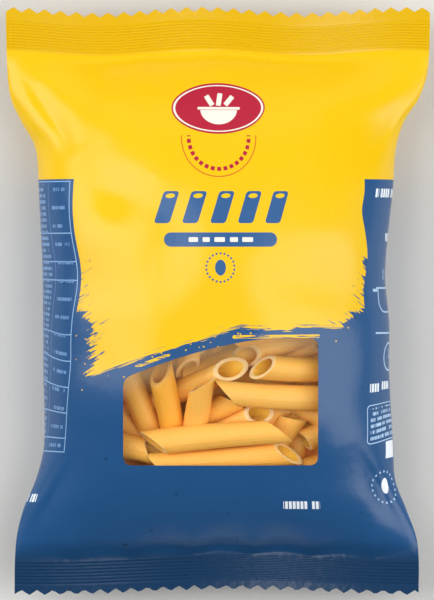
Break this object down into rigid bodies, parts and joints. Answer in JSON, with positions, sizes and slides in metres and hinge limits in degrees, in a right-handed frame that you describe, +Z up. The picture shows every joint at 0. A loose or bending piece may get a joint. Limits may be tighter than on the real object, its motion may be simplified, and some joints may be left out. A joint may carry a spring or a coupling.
{
  "type": "pasta packet",
  "caption": "Sealed pillow bag of printed film with crimped, zigzag-cut ends and a clear front window onto oblique-cut tube pasta.",
  "frame": {"origin": "centre of the bag's footprint, on the surface that its back rests on", "axes": "+Y towards the top seal of the print, +X to the print's right, +Z up out of the printed front"},
  "size_m": [0.1468, 0.2034, 0.052],
  "materials": {
    "printed_film": "satin printed film, yellow above and blue below",
    "clear_film": "clear film",
    "dry_pasta": "matte dry wheat pasta"
  },
  "bodies": {
    "root": {"packet": "printed_film", "window": "clear_film", "pasta": "dry_pasta"}
  },
  "joints": []
}
